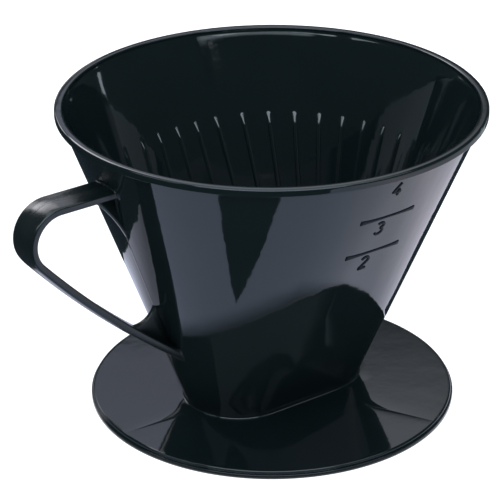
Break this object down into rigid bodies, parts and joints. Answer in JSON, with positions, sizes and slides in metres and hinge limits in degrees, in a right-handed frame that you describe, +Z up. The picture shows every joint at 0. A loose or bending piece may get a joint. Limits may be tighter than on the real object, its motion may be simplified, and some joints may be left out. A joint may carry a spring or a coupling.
{
  "type": "coffee filter cone",
  "caption": "Glossy black plastic coffee filter cone: round rim, wedge-shaped ribbed cup, oval foot on a round plate, strap handle with webs.",
  "frame": {"origin": "centre of the plate's underside, on the surface that the cone stands on", "axes": "+Z up through the middle of the rim, -X towards the handle, -Y towards the level marks"},
  "size_m": [0.1517, 0.128, 0.096],
  "materials": {
    "black_plastic": "polished black moulded plastic"
  },
  "bodies": {
    "root": {"filter_cone": "black_plastic"}
  },
  "joints": []
}
